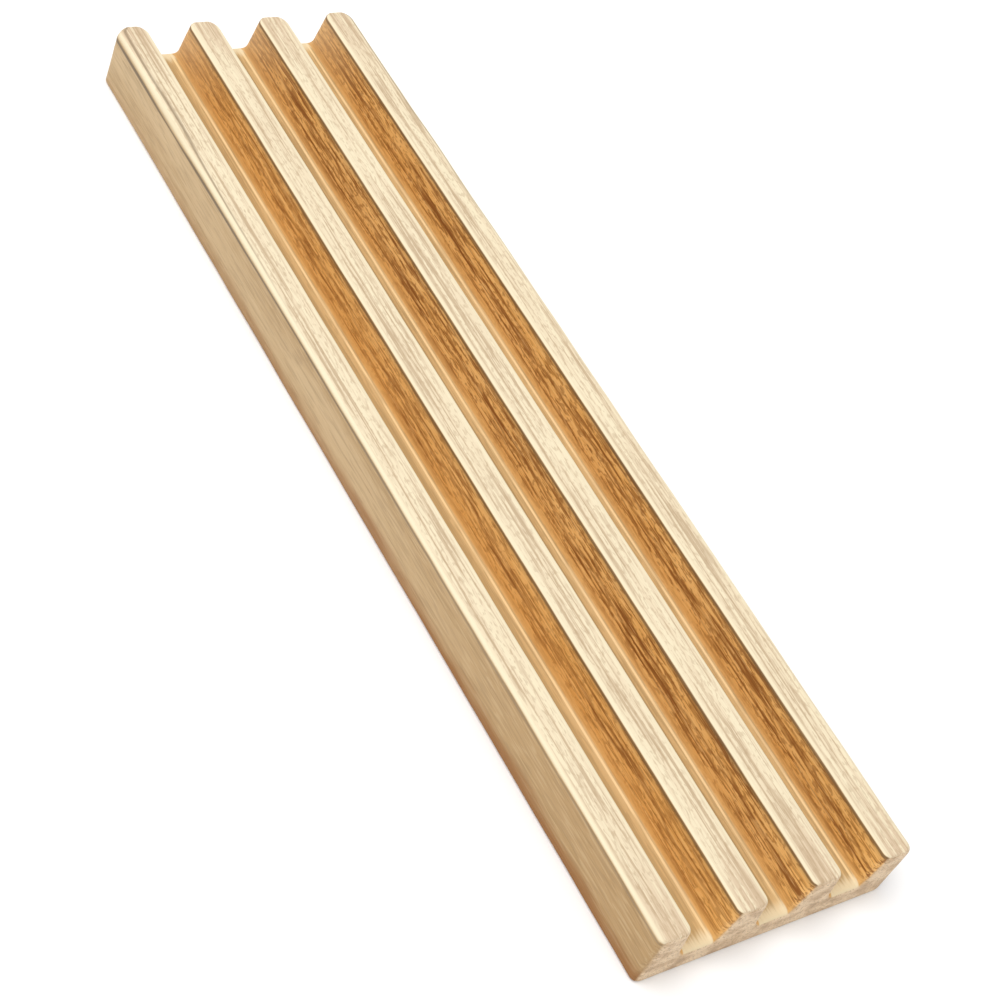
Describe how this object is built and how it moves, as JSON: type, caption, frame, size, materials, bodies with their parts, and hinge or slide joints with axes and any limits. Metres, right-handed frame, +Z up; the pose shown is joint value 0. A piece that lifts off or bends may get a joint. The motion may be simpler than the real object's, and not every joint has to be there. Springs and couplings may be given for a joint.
{
  "type": "wood edge slicker",
  "caption": "Flat rectangular hardwood bar with parallel straight grooves along its top face, rubbed over leather edges to burnish them smooth.",
  "frame": {"origin": "middle of the flat underside of the bar", "axes": "+Y along the grooves, +X across them, +Z up from the underside to the open side of the grooves"},
  "size_m": [0.038, 0.15, 0.009],
  "materials": {
    "wood": "sanded, unvarnished, grooves browned by use"
  },
  "bodies": {
    "root": {"grooved_block": "wood"}
  },
  "joints": []
}
